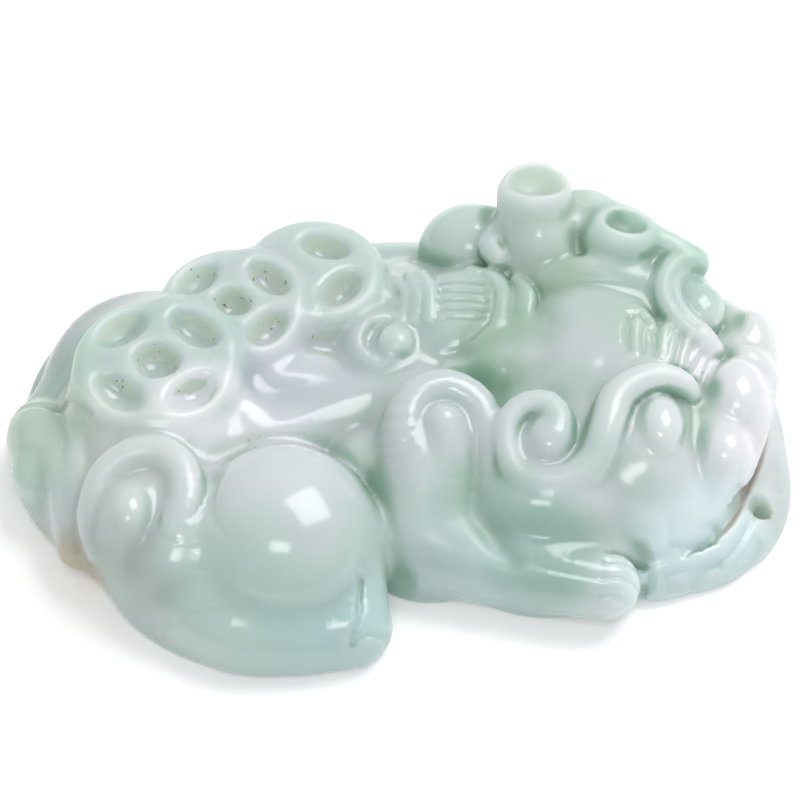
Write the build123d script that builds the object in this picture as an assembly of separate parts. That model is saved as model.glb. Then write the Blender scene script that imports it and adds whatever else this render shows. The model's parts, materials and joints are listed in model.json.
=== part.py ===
from build123d import *

import itertools
import os

import numpy as np

# A jade pendant carved in the round on a flat back: a crouching pixiu with three old coins on its back.
# X runs from the tail to the nose, Y from the feet to the mane, Z up from the flat back on which it lies.

# Driving sizes, mm
LENGTH = 52.0            # tail to jaw
WIDTH = 36.6             # hind foot to the top curl of the mane
HEIGHT = 12.3            # flat back to the top of that curl
BACK_HEIGHT = 2.7        # thin rim of stone that shows behind the coins
JAW_HEIGHT = 3.8         # lower jaw, the plate that the cord hole goes through
LEG_THICK = 5.0          # forearm and hind foot, across
CURL_THICK = 2.0         # strands of the mane, across
COIN_RADIUS = 5.3
COIN_THICK = 2.2
COIN_RECESS = 2.4        # depth of the coins' openings, which are blind
PETAL_LONG = 4.4
PETAL_WIDE = 2.5
SQUARE_WIDE = 2.6
EYE_WIDE = 2.7
MOUTH_GAP = 0.6
CORD_HOLE = 1.2          # drilled through the lower jaw
HOLE_WALL = 2.3          # straight wall of that hole, up to its worn funnel
FUNNEL_SLOPE = 1.2       # how much wider the funnel gets for its height
BOTTOM_EDGE = 0.6        # rounding where the sides meet the flat back
FACET = 0.92             # side of one facet

# The carving is laid out on a drawing of 51.7 by 36.6 by 12.2 units. Each place and half size in the
# tables below is a share of it in those units, and follows LENGTH, WIDTH and HEIGHT. A strand's radius is
# a share of the half thickness that its table names.
SHARE = np.array([LENGTH / 51.7, WIDTH / 36.6, HEIGHT / 12.2])
OUTSIDE = 4.0            # field value far from the stone
CLEAR = 1.2              # how far a form is worked out beyond its own box


def soft_least(a, b, blend):
    """The lesser of two distances, with the corner between them rounded over the blend."""
    near = np.maximum(blend - np.abs(a - b), 0.0) / blend
    return np.minimum(a, b) - near * near * blend / 4


def mass(x, y, z, half_x, half_y, half_z, turn=0.0, full=2):
    """An ellipsoid turned about Z, or a fuller pad where full is over 2.

    Its unit radius is the root of the sum of the powers of the shares of its half sizes. Its distance is
    that radius less 1, over the length of its gradient.
    """
    centre = np.array([x, y, z]) * SHARE
    half = np.array([half_x, half_y, half_z]) * SHARE
    cosine, sine = np.cos(np.radians(turn)), np.sin(np.radians(turn))

    def distance(px, py, pz):
        dx, dy, dz = px - centre[0], py - centre[1], pz - centre[2]
        u, v = cosine * dx + sine * dy, cosine * dy - sine * dx
        shares = [np.abs(run) / size for run, size in zip((u, v, dz), half)]
        unit = sum(share**full for share in shares) ** (1 / full) + 1e-9
        slope = np.sqrt(sum((share ** (full - 1) / size) ** 2 for share, size in zip(shares, half)))
        return (unit - 1) * unit ** (full - 1) / (slope + 1e-9)

    wide = np.array([max(half[:2])] * 2 + [half[2]]) if turn else half
    return distance, centre - wide, centre + wide


def smooth_line(rows, step=0.8):
    """A Catmull-Rom curve through rows of numbers, sampled about once every step."""
    rows = np.array(rows, float)
    if len(rows) == 2:
        return rows
    ends = np.vstack([2 * rows[0] - rows[1], rows, 2 * rows[-1] - rows[-2]])
    pieces = []
    for a, b, c, d in zip(ends, ends[1:], ends[2:], ends[3:]):
        count = max(2, int(np.ceil(np.linalg.norm((c - b)[:3]) / step)))
        t = np.arange(count)[:, None] / count
        bend, twist = a - 2.5 * b + 2 * c - d / 2, 1.5 * (b - c) + (d - a) / 2
        pieces.append(b + t * (c - a) / 2 + t**2 * bend + t**3 * twist)
    return np.vstack(pieces + [rows[-1:]])


def strand(rows, half_thick, steep=1.0):
    """A round strand along rows of x, y, z and radius share. Steep under 1 draws it out upwards."""
    line = smooth_line([(*(np.array(row[:3]) * SHARE), row[3] * half_thick) for row in rows])

    def distance(px, py, pz):
        best = np.inf
        for a, b in itertools.pairwise(line):
            run = (b - a)[:3]
            t = ((px - a[0]) * run[0] + (py - a[1]) * run[1] + (pz - a[2]) * run[2]) / (run @ run)
            t = np.clip(t, 0, 1)
            off = (px - a[0] - t * run[0]) ** 2 + (py - a[1] - t * run[1]) ** 2
            off = off + ((pz - a[2] - t * run[2]) * steep) ** 2
            best = np.minimum(best, np.sqrt(off) - a[3] - t * (b[3] - a[3]))
        return best

    reach = line[:, 3:] * [1, 1, 1 / steep]
    return distance, (line[:, :3] - reach).min(0), (line[:, :3] + reach).max(0)


def disc(x, y, z, radius, thick, edge):
    """A round slab with rounded edges, whose top is at z."""
    centre = np.array([x, y, z]) * SHARE - [0, 0, thick / 2]

    def distance(px, py, pz):
        out = np.hypot(px - centre[0], py - centre[1]) - radius + edge
        up = np.abs(pz - centre[2]) - thick / 2 + edge
        return np.hypot(np.maximum(out, 0), np.maximum(up, 0)) + np.minimum(np.maximum(out, up), 0) - edge

    wide = np.array([radius, radius, thick / 2])
    return distance, centre - wide, centre + wide


steps = []               # forms in the order in which they are raised or cut


def raise_up(form, blend):
    steps.append((1, form, blend))


def cut_away(form, blend):
    steps.append((-1, form, blend))


# Main masses: the thin back, the tail, the body, and what carries the coins and the wing.
back = BACK_HEIGHT / 2.7
raise_up(mass(-11.6, 3.6, 0.5 * back, 13.3, 10.8, 2.2 * back), 0.5)
for x, y, z, half_x, half_y, half_z, turn, blend in (
    (-18.7, -2.6, 1.8, 6.4, 8.9, 3.6, 27, 1.0),
    (-16.2, 5.0, 1.8, 7.0, 7.2, 4.1, 30, 1.5),
    (0.0, 6.2, 1.5, 15.0, 11.65, 3.2, 0, 1.0),
    (-5.0, 3.0, 1.6, 18.5, 11.0, 4.4, 0, 1.5),
    (-13.0, 4.3, 2.2, 8.8, 6.6, 5.2, 0, 1.5),
    (-7.2, 8.6, 2.0, 6.6, 5.8, 5.2, 0, 1.5),
    (-9.6, 3.4, 3.0, 4.6, 4.6, 4.4, 0, 1.2),
    (1.5, 7.0, 2.5, 7.0, 7.2, 4.8, 0, 1.5),
    (-10.4, -0.8, 4.2, 2.4, 3.0, 3.2, 0, 1.0),
    (-7.4, 1.6, 4.2, 4.8, 2.6, 2.7, 0, 1.2),
):
    raise_up(mass(x, y, z, half_x, half_y, half_z, turn), blend)
raise_up(mass(-7.0, 2.2, 4.2, 3.6, 1.9, 2.9, full=3), 0.6)
spine = ((-13.0, -3.4, 3.8, 1.0), (-8.0, -2.2, 4.3, 1.04), (-3.4, -0.2, 4.3, 1.0), (0.6, 1.6, 4.0, 0.9))
raise_up(strand(spine, LEG_THICK / 2), 1.5)

# Head, with the lower jaw as a plate round its near side and a smooth lobe behind it.
jaw = JAW_HEIGHT / 3.8
raise_up(mass(15.8, 0.0, 0.8 * jaw, 9.5, 12.2, 3.0 * jaw), 1.0)
raise_up(mass(17.4, -3.4, 0.8 * jaw, 8.0, 8.1, 3.0 * jaw), 1.0)
for x, y, z, half_x, half_y, half_z, blend in (
    (13.2, 2.8, 2.2, 11.0, 11.0, 6.0, 1.5),
    (14.0, 10.2, 4.0, 6.8, 5.2, 4.6, 1.0),
    (11.5, 12.6, 5.0, 4.2, 3.4, 3.6, 1.0),
    (14.2, -0.2, 3.0, 9.3, 10.0, 4.4, 0.8),
    (4.8, 13.8, 5.4, 3.7, 3.3, 3.2, 0.5),
    (6.8, 13.4, 6.2, 1.8, 1.8, 2.2, 0.8),
):
    raise_up(mass(x, y, z, half_x, half_y, half_z), blend)

# Hip, haunch and the hind foot that curls forward under them.
for x, y, z, half_x, half_y, half_z, blend in (
    (-15.9, -6.6, 3.2, 5.6, 6.6, 4.6, 1.5),
    (-12.8, -9.6, 0.0, 5.4, 6.9, 7.2, 1.5),
    (-7.6, -9.9, 4.2, 6.2, 6.5, 5.2, 0.9),
):
    raise_up(mass(x, y, z, half_x, half_y, half_z), blend)
foot = (
    (-15.6, -10.8, 2.2, 1.08),
    (-13.3, -13.5, 2.0, 1.16),
    (-10.5, -15.4, 1.8, 1.18),
    (-7.0, -15.8, 1.7, 1.1),
    (-4.4, -15.6, 1.7, 1.02),
    (-3.3, -15.4, 1.7, 1.0),
)
shin = ((-3.2, -15.2, 1.8, 1.0), (-3.1, -12.6, 3.0, 0.86), (-3.3, -9.2, 4.2, 0.86))
raise_up(strand(foot, LEG_THICK / 2), 1.3)
raise_up(strand(shin, LEG_THICK / 2), 0.8)

# Shoulder, cheek and the foreleg laid along the near edge.
raise_up(mass(1.4, -3.2, 0.0, 5.6, 8.9, 8.2), 0.6)
raise_up(mass(10.8, -3.0, 0.0, 9.2, 8.6, 7.8), 0.6)
raise_up(mass(-2.5, -4.2, 2.8, 2.4, 2.8, 4.0), 0.8)
foreleg = (
    (0.5, -8.8, 2.5, 1.18),
    (4.0, -10.1, 2.6, 1.13),
    (8.0, -11.4, 2.7, 1.0),
    (11.0, -12.3, 2.8, 0.92),
    (13.1, -12.7, 2.7, 0.88),
)
raise_up(strand(foreleg, LEG_THICK / 2), 1.4)
raise_up(mass(9.4, -8.0, 0.0, 6.2, 5.4, 6.2), 1.0)
fold = ((4.9, -7.0, 7.0, 0.6), (5.3, -9.2, 6.1, 0.8), (6.0, -11.0, 5.7, 0.8), (7.0, -12.4, 5.3, 0.5))
cut_away(strand(fold, CURL_THICK / 2), 0.8)

# Coins: each is a slab on its own swell of stone, with petals round a square cut into it. The far one is
# half hidden by the next and shows two petals and no square.
for x, y, z, size, angles, petals, out, square in (
    (-5.9, 10.0, 7.8, 0.91, (68, -42), 0.78, 0.45, 0.0),
    (-10.9, 7.1, 8.3, 0.92, (45, 135, -45, -135), 0.95, 0.61, 1.0),
    (-15.4, 1.2, 8.9, 1.0, (45, 135, -45, -135), 1.0, 0.64, 1.1),
):
    raise_up(mass(x, y, z - 2.8, 4.9 * size, 4.9 * size, 2.4), 0.3)
    raise_up(disc(x, y, z, COIN_RADIUS * size, COIN_THICK, 0.8), 0.9)
    low = z - COIN_RECESS / SHARE[2] + 2.6
    for angle in angles:
        aim = np.array([np.cos(np.radians(angle)), np.sin(np.radians(angle))])
        side = out * COIN_RADIUS * aim / SHARE[:2]
        half_x, half_y = PETAL_WIDE / 2 * petals / SHARE[0], PETAL_LONG / 2 * petals / SHARE[1]
        cut_away(mass(x + side[0], y + side[1], low, half_x, half_y, 2.6, angle), 0.7)
    half = SQUARE_WIDE / 2 / SHARE[0] * square
    if square:
        cut_away(mass(x, y, low + 0.2, half, half, 2.6), 0.7)
raise_up(mass(-15.4, -3.4, 5.8, 4.8, 2.6, 2.3), 1.2)
raise_up(mass(-19.9, -0.6, 5.6, 1.9, 3.2, 2.0), 1.0)

# Curl on the hip with the knob that it turns round.
half_curl = CURL_THICK / 2
hip_curl = (
    (-19.6, -10.2, 5.4, 0.5),
    (-19.6, -8.6, 6.6, 0.65),
    (-18.5, -6.8, 7.5, 0.9),
    (-16.0, -5.9, 7.8, 1.0),
    (-13.9, -7.1, 7.8, 0.95),
    (-13.5, -9.3, 7.6, 1.0),
    (-14.5, -11.2, 7.0, 1.3),
    (-15.4, -12.4, 6.0, 2.0),
)
hip_knob = ((-16.9, -9.4, 7.1, 1.4), (-16.7, -11.2, 6.0, 2.2), (-15.5, -12.6, 4.5, 3.0))
raise_up(mass(-18.4, -9.6, 5.4, 1.6, 2.8, 2.1), 0.8)
raise_up(strand(hip_curl, half_curl), 0.5)
raise_up(strand(hip_knob, half_curl), 0.5)

# Tail: a lobe at the end of the body, a broad lock and a thin one that run down beside the hip.
raise_up(mass(-22.6, -2.0, 2.9, 2.7, 4.5, 2.6, 23), 0.4)
raise_up(mass(-22.6, -4.2, 4.4, 1.4, 2.1, 1.3, 23), 0.25)
tail = ((-22.0, 0.8, 5.4, 0.8), (-21.9, -2.4, 5.4, 1.2), (-21.4, -6.2, 4.6, 1.5), (-20.4, -9.9, 3.0, 1.5))
tail_side = (
    (-20.9, -2.2, 6.4, 0.4),
    (-20.8, -4.6, 6.2, 0.5),
    (-20.5, -7.4, 5.3, 0.5),
    (-19.8, -10.0, 4.1, 0.4),
)
raise_up(strand(tail, half_curl), 0.5)
raise_up(strand(tail_side, half_curl), 0.9)

# Wing: a full pad with a rim on its far side, feathers beside it, and a domed scroll with a knob in it.
raise_up(mass(4.4, 7.2, 5.6, 3.3, 3.9, 2.4, full=2.6), 0.8)
rim = (
    (4.7, 10.2, 7.1, 0.5),
    (6.1, 9.4, 7.3, 0.7),
    (6.6, 7.6, 7.4, 0.8),
    (6.2, 5.6, 7.3, 0.8),
    (4.9, 4.4, 6.9, 0.7),
)
raise_up(strand(rim, half_curl), 0.6)
for feather in (
    ((-0.4, 9.9, 6.9, 0.3), (0.3, 8.3, 7.2, 0.4), (0.1, 6.4, 7.0, 0.3)),
    ((0.5, 10.2, 7.0, 0.35), (1.1, 8.2, 7.4, 0.45), (0.9, 6.0, 7.1, 0.35)),
    ((1.4, 10.2, 7.1, 0.35), (1.9, 8.2, 7.6, 0.45), (1.8, 6.0, 7.4, 0.35)),
    ((-1.6, 9.7, 6.5, 0.4), (-1.2, 8.8, 6.7, 0.5), (-0.5, 7.8, 6.7, 0.4)),
):
    raise_up(strand(feather, half_curl), 0.4)
raise_up(mass(-0.6, 9.4, 5.2, 2.0, 1.6, 1.6), 0.6)
raise_up(mass(-1.4, 4.9, 5.4, 2.5, 2.9, 2.3), 0.8)
crescent = ((-0.7, 6.0, 7.9, 0.4), (-1.8, 5.3, 7.8, 0.65), (-2.1, 4.1, 7.7, 0.65), (-1.4, 3.1, 7.6, 0.4))
cut_away(strand(crescent, half_curl, 0.7), 0.4)
raise_up(mass(-0.3, 4.4, 6.7, 1.15, 1.3, 1.1), 0.25)
raise_up(mass(4.0, 2.6, 6.0, 1.4, 0.8, 0.9), 0.6)

# Forehead, its lip, the hollow behind the lip, and the ear that lies between the forehead and the wing.
raise_up(mass(12.9, 3.9, 4.6, 4.5, 6.3, 4.2, full=2.6), 0.8)
raise_up(mass(12.2, 7.0, 4.2, 3.8, 3.0, 4.2), 0.8)
lip = ((9.6, 9.2, 7.7, 0.8), (12.4, 9.5, 8.5, 0.8), (15.4, 9.1, 7.9, 0.8))
raise_up(strand(lip, half_curl), 1.2)
raise_up(mass(11.4, 13.2, 7.2, 2.6, 2.4, 2.7), 0.8)
cut_away(mass(11.9, 11.3, 9.4, 2.1, 1.0, 1.2), 0.5)
raise_up(mass(7.6, 11.0, 6.2, 1.7, 1.5, 1.9), 0.6)
raise_up(mass(16.6, 9.0, 6.2, 1.5, 3.2, 2.0), 0.8)
raise_up(mass(8.0, 7.4, 6.4, 1.2, 3.2, 1.6, -4), 0.35)
ear = ((7.5, 9.3, 7.6, 0.3), (8.4, 7.8, 7.8, 0.4), (8.2, 5.6, 7.5, 0.3))
raise_up(strand(ear, half_curl), 0.3)
valley = ((7.3, 2.8, 8.0, 0.3), (6.8, 1.7, 7.9, 0.5), (6.2, 0.2, 7.9, 0.4))
cut_away(strand(valley, half_curl, 0.5), 0.6)
raise_up(mass(7.1, 4.0, 5.7, 3.2, 3.2, 2.3), 0.3)

# Near side of the mane: a hooked curl with its knob, and a brow that runs down into a spiral.
hook = (
    (5.6, -6.4, 5.8, 0.8),
    (5.6, -4.0, 6.9, 0.95),
    (5.1, -1.8, 7.8, 1.05),
    (3.0, -0.5, 8.3, 1.1),
    (1.0, -1.5, 8.1, 1.15),
    (0.4, -3.6, 7.4, 1.4),
    (1.2, -5.4, 5.8, 2.1),
)
hook_knob = ((2.7, -3.3, 7.8, 1.2), (3.0, -4.9, 6.7, 1.4), (2.8, -7.6, 4.2, 2.0))
brow = (
    (19.0, -1.2, 7.6, 0.75),
    (18.4, -0.5, 8.3, 0.85),
    (16.8, -0.1, 8.7, 0.95),
    (15.2, -0.6, 8.6, 1.0),
    (13.9, -1.6, 8.4, 1.05),
    (13.1, -3.7, 7.9, 1.05),
    (12.4, -5.6, 7.3, 1.05),
    (10.9, -7.1, 6.8, 1.05),
    (9.1, -7.6, 6.7, 1.0),
    (7.3, -6.7, 6.9, 0.9),
    (6.7, -4.7, 7.4, 0.85),
    (7.0, -3.0, 7.9, 0.9),
    (8.1, -2.1, 8.1, 0.95),
    (9.4, -2.2, 8.2, 1.0),
    (10.1, -3.3, 8.1, 1.0),
    (10.0, -4.4, 7.9, 1.0),
)
raise_up(mass(3.2, -2.8, 6.1, 2.8, 2.8, 2.1), 0.6)
raise_up(strand(((4.4, -3.0, 6.4, 1.2), (4.7, -5.5, 5.2, 1.4), (5.0, -8.5, 3.6, 1.5)), half_curl), 0.8)
raise_up(strand(hook, half_curl), 0.5)
raise_up(strand(hook_knob, half_curl), 0.7)
raise_up(mass(9.2, -7.6, 5.0, 4.2, 2.8, 2.5), 1.0)
raise_up(mass(8.7, -4.4, 6.0, 2.8, 3.0, 2.0), 0.8)
raise_up(mass(16.4, -2.2, 6.2, 2.8, 2.6, 2.0), 1.2)
raise_up(strand(brow, half_curl), 0.45)
raise_up(mass(9.5, -4.4, 7.4, 1.5, 1.9, 1.45), 0.4)

# Eye under the brow, with the cheek below it.
eye = EYE_WIDE / 2 / SHARE[0]
raise_up(mass(17.1, -2.5, 7.8, eye, 1.4 * eye, 1.1 * eye), 0.25)
raise_up(strand(((17.1, -3.2, 7.2, 1.2), (17.1, -4.6, 6.0, 1.3)), half_curl), 0.8)

# Nose and upper lip in three knobs on a roll that follows the mouth.
lips = ((23.4, 7.4, 4.0, 1.0), (22.9, 1.6, 4.9, 1.4), (21.8, -2.4, 4.7, 1.4), (20.2, -5.4, 4.2, 1.2))
raise_up(strand(lips, half_curl), 1.0)
raise_up(mass(20.4, -2.0, 4.9, 1.9, 4.2, 2.2), 1.0)
raise_up(mass(22.0, 0.6, 5.9, 2.7, 2.8, 2.4), 0.6)
raise_up(mass(21.0, -3.9, 5.2, 2.25, 2.3, 2.3), 0.6)
raise_up(mass(23.4, 6.0, 4.4, 1.65, 2.8, 2.4), 0.5)
raise_up(mass(22.6, 3.4, 4.8, 2.0, 1.7, 2.2), 0.5)

# Wrinkles across the bridge of the nose, the first with a pleat round it.
raise_up(mass(17.0, 3.2, 6.3, 3.7, 3.0, 2.2), 0.6)
raise_up(mass(15.2, 1.2, 5.7, 2.9, 2.5, 2.95, full=3), 0.4)
for x, y, z, run, lean, thick in (
    (15.4, 4.5, 8.0, 2.2, 0.2, 0.9),
    (17.3, 4.1, 8.1, 2.2, 0.2, 0.75),
    (18.6, 3.5, 7.9, 1.9, 0.4, 0.5),
    (19.5, 2.8, 7.4, 1.7, 0.5, 0.45),
    (20.3, 2.3, 6.9, 1.6, 0.5, 0.4),
):
    raise_up(strand(((x, y, z, thick), (x - lean, y - run, z - 0.2, thick)), half_curl), 0.3)
pleat = ((13.8, 4.6, 7.8, 0.3), (14.4, 5.7, 8.0, 0.4), (15.7, 5.9, 8.1, 0.4), (16.4, 4.6, 8.2, 0.3))
raise_up(strand(pleat, half_curl), 0.3)

# Far side of the mane: two upright curls with hollow tops, the far brow and eye, and the rim behind them.
far_rim = (
    (10.4, 15.0, 8.8, 0.8),
    (12.5, 14.8, 9.1, 0.9),
    (14.3, 13.6, 9.0, 0.9),
    (16.6, 12.1, 8.7, 0.9),
    (18.4, 11.3, 8.3, 0.8),
    (19.4, 10.7, 7.9, 0.7),
)
raise_up(strand(far_rim, half_curl), 1.0)
raise_up(strand(((8.7, 13.5, 9.0, 2.5), (9.3, 12.0, 7.6, 2.6), (9.8, 10.6, 6.0, 2.4)), half_curl), 0.8)
raise_up(mass(8.8, 14.2, 10.5, 2.5, 2.4, 1.9), 0.5)
cut_away(mass(8.9, 14.5, 12.3, 2.1, 1.6, 1.9), 0.4)
raise_up(mass(11.4, 11.6, 6.6, 1.8, 1.9, 1.9), 0.6)
raise_up(mass(16.8, 10.8, 6.4, 1.4, 1.6, 1.9), 0.6)
raise_up(mass(14.3, 11.8, 8.9, 2.5, 2.3, 1.9), 0.7)
cut_away(mass(15.0, 12.2, 10.9, 1.7, 1.3, 1.7), 0.4)
far_brow = (
    (19.3, 10.9, 7.5, 1.1),
    (18.2, 10.1, 8.0, 1.1),
    (17.5, 8.5, 8.3, 0.95),
    (17.6, 6.6, 8.3, 0.95),
    (18.5, 5.0, 8.1, 0.9),
    (19.6, 4.1, 7.8, 0.85),
    (20.3, 3.4, 7.3, 0.75),
)
raise_up(mass(21.0, 7.4, 3.0, 2.8, 3.2, 3.2), 0.6)
raise_up(mass(21.6, 5.0, 4.3, 2.0, 2.4, 2.2), 0.8)
raise_up(mass(18.9, 7.6, 6.9, 1.6, 2.6, 1.4), 0.5)
raise_up(strand(far_brow, half_curl), 0.5)
raise_up(mass(19.5, 6.9, 7.2, 1.3 * eye, 1.6 * eye, 1.2 * eye), 0.3)
small_curl = ((8.6, 12.4, 8.4, 0.8), (6.9, 12.8, 8.4, 0.9), (5.9, 11.8, 8.2, 0.9), (6.4, 10.9, 8.0, 0.8))
raise_up(strand(small_curl, half_curl), 0.4)

# Mouth, a slit between the upper lip and the jaw plate.
mouth = (
    (25.4, 8.2, 3.0, 0.9),
    (24.9, 3.4, 3.4, 1.0),
    (24.0, -0.7, 3.8, 1.0),
    (22.9, -4.1, 3.8, 1.0),
    (21.2, -7.8, 3.5, 1.0),
    (19.3, -9.6, 3.2, 0.9),
    (17.6, -10.3, 3.0, 0.6),
)
cut_away(strand(mouth, MOUTH_GAP / 2, 0.4), 0.35)


def field_on(xs, ys, zs):
    """Distance to the carved surface on a grid, negative in the stone, with the flat back cut at Z = 0."""
    field = np.full((len(xs), len(ys), len(zs)), OUTSIDE)
    for sign, (distance, low, high), blend in steps:
        low, high = low - blend - CLEAR, high + blend + CLEAR
        i, j, k = (slice(*np.searchsorted(axis, ends)) for axis, ends in zip((xs, ys, zs), zip(low, high)))
        part = field[i, j, k]
        if part.size:
            new = distance(xs[i, None, None], ys[None, j, None], zs[None, None, k])
            field[i, j, k] = sign * soft_least(sign * part, new, blend)
    return -soft_least(-field, zs[None, None, :] + 0 * field, BOTTOM_EDGE)


CORNERS = list(itertools.product((0, 1), repeat=3))


def in_one_piece(corners):
    """Whether these corners of a cube hang together along its edges."""
    left = set(corners)
    front = [left.pop()] if left else []
    while front:
        here = front.pop()
        near = {c for c in left if sum(a != b for a, b in zip(c, here)) == 1}
        left -= near
        front += near
    return not left


# For each of the 256 ways in which a cell's corners lie in the stone, whether stone and air are both whole.
CLEAN = np.array([
    in_one_piece([c for n, c in enumerate(CORNERS) if code >> n & 1])
    and in_one_piece([c for n, c in enumerate(CORNERS) if not code >> n & 1])
    for code in range(256)
])


def corner_views(field):
    """The grid seen from each of a cell's eight corners."""
    nx, ny, nz = (size - 1 for size in field.shape)
    return [field[a:a + nx, b:b + ny, c:c + nz] for a, b, c in CORNERS]


def fill_pinches(field):
    """Where stone or air only touches at an edge or a corner, the air of that cell is made stone."""
    while True:
        views = corner_views(field)
        code = sum((view < 0).astype(int) << n for n, view in enumerate(views))
        pinched = ~CLEAN[code]
        if not pinched.any():
            return field
        for view in views:
            view[pinched & (view >= 0)] = -1e-3


def skin(field, lows, side):
    """Surface nets: a corner in each cell that the surface crosses, and a patch round each crossed edge."""
    views = dict(zip(CORNERS, corner_views(field)))
    crossings = 0
    total = np.zeros((*views[0, 0, 0].shape, 3))
    for start in CORNERS:
        for axis in range(3):
            if start[axis]:
                continue
            end = tuple(1 if n == axis else value for n, value in enumerate(start))
            a, b = views[start], views[end]
            crossed = (a < 0) != (b < 0)
            total[..., axis] += np.where(crossed, a / np.where(crossed, a - b, 1), 0)
            total += np.where(crossed[..., None], start, 0)
            crossings = crossings + crossed
    active = crossings > 0
    number = np.full(active.shape, -1)
    number[active] = np.arange(active.sum())
    points = (np.argwhere(active) + total[active] / crossings[active][:, None]) * side + lows
    patches = []
    for axis in range(3):
        u, v = (axis + 1) % 3, (axis + 2) % 3
        ahead = np.moveaxis(field < 0, axis, 0)
        changed = np.moveaxis(ahead[:-1] != ahead[1:], 0, axis)
        leaving = np.moveaxis(ahead[:-1], 0, axis)[changed]
        cells = [np.argwhere(changed) for _ in range(4)]
        for cell, (back_u, back_v) in zip(cells, ((1, 1), (0, 1), (0, 0), (1, 0))):
            cell[:, u] -= back_u
            cell[:, v] -= back_v
        patch = np.stack([number[tuple(cell.T)] for cell in cells], 1)
        patch[~leaving] = patch[~leaving, ::-1]
        patches.append(patch)
    return points, np.vstack(patches)


def triangles_of(points, patches):
    """Each patch is split along its shorter diagonal."""
    a, b, c, d = (points[patches[:, n]] for n in range(4))
    first = np.linalg.norm(a - c, axis=1) < np.linalg.norm(b - d, axis=1)
    one = np.where(first[:, None], patches[:, [0, 1, 2]], patches[:, [0, 1, 3]])
    two = np.where(first[:, None], patches[:, [0, 2, 3]], patches[:, [1, 2, 3]])
    return np.vstack([one, two])


def outer_skin(count, triangles):
    """The triangles of the largest closed skin, which leaves out any bubble shut inside the stone."""
    label = np.arange(count)
    while True:
        least = label.copy()
        np.minimum.at(least, triangles.ravel(), np.repeat(label[triangles].min(axis=1), triangles.shape[1]))
        least = least[least]
        if (least == label).all():
            break
        label = least
    skins, sizes = np.unique(label[triangles[:, 0]], return_counts=True)
    return triangles[label[triangles[:, 0]] == skins[sizes.argmax()]]


def loops_round(triangles):
    """The closed outlines of a patch of triangles, as lists of point numbers."""
    sides = {(t[n], t[(n + 1) % 3]) for t in triangles.tolist() for n in range(3)}
    following = {a: b for a, b in sides if (b, a) not in sides}
    loops = []
    while following:
        loop = [next(iter(following))]
        while loop[-1] in following:
            loop.append(following.pop(loop[-1]))
        loops.append(loop[:-1])
    return loops


margin = 2 * FACET
low_corner = np.array([-27.0, -20.0, 0.0]) * SHARE - margin
high_corner = np.array([27.0, 19.5, 13.0]) * SHARE + margin
low_corner[2] = -1.5 * FACET
xs, ys, zs = (np.arange(low, high, FACET) for low, high in zip(low_corner, high_corner))
points, patches = skin(fill_pinches(field_on(xs, ys, zs)), low_corner, FACET)
triangles = outer_skin(len(points), triangles_of(points, patches))

# The flat back is one plane: each point that lies on it is brought to Z = 0 and its facets become one face.
points[points[:, 2] < 0.03 * FACET, 2] = 0
flat = (points[triangles][:, :, 2] == 0).all(axis=1)

# The box's middle is the part's origin.
middle = (points.min(0) + points.max(0)) / 2
points[:, :2] -= middle[:2]


def wire_of(loop):
    return Wire(Polyline(*(tuple(points[n]) for n in loop), close=True).edges())


facets = [Face(wire_of(t)) for t in triangles[~flat].tolist()]
for outline in loops_round(triangles[flat]):
    facets.append(Face(wire_of(outline)))
stone = Solid(Shell(facets))
print("triangles", len(triangles), "flat", flat.sum(), "facets", len(facets))
print("valid", stone.is_valid, "volume", stone.volume)

# Cord hole, drilled straight through the lower jaw from the flat back, with a worn funnel at its top.
hole_x, hole_y = np.array([23.4, -6.1]) * SHARE[:2] - middle[:2]
funnel_high = 2.0
wide = CORD_HOLE / 2 + FUNNEL_SLOPE * funnel_high / 2
funnel = Cone(CORD_HOLE / 2, wide, funnel_high, align=(Align.CENTER, Align.CENTER, Align.MIN))
stone = stone - Pos(hole_x, hole_y, 0) * Cylinder(CORD_HOLE / 2, 3 * HEIGHT)
stone = stone - Pos(hole_x, hole_y, HOLE_WALL) * funnel

os.makedirs("parts", exist_ok=True)
print("hole", hole_x, hole_y, stone.is_valid, stone.volume, stone.bounding_box().size)
export_step(stone, "parts/pendant.step", write_pcurves=False)
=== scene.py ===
import itertools
import json

import bpy
import numpy as np
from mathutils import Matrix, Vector


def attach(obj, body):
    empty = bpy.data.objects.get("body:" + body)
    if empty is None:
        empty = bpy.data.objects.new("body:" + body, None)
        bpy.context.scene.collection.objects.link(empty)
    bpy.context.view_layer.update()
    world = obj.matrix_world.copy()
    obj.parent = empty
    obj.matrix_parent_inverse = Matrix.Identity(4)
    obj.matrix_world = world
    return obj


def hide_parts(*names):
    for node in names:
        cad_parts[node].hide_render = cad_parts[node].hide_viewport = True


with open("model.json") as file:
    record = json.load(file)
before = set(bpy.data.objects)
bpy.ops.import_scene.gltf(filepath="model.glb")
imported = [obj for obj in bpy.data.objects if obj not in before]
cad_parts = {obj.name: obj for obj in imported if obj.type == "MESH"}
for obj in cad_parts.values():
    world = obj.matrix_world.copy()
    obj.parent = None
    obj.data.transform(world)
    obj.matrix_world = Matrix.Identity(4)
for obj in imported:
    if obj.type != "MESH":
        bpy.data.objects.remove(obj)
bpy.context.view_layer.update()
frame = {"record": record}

# Body of the beast
# The pendant is one flat-backed piece of jade. Its body is what is left when the hollows round the coins,
# the limbs and the head have been ground away. Its forms are raised or cut in the order given here.
LENGTH = 52.0            # tail to jaw, in mm, as all lengths are until the mesh is made
WIDTH = 36.6             # hind foot to the top curl of the mane
HEIGHT = 12.3            # flat back to the top of that curl
BACK_HEIGHT = 2.7        # thin rim of stone that shows behind the coins
LEG_THICK = 5.0          # forearm and hind foot, across

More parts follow.
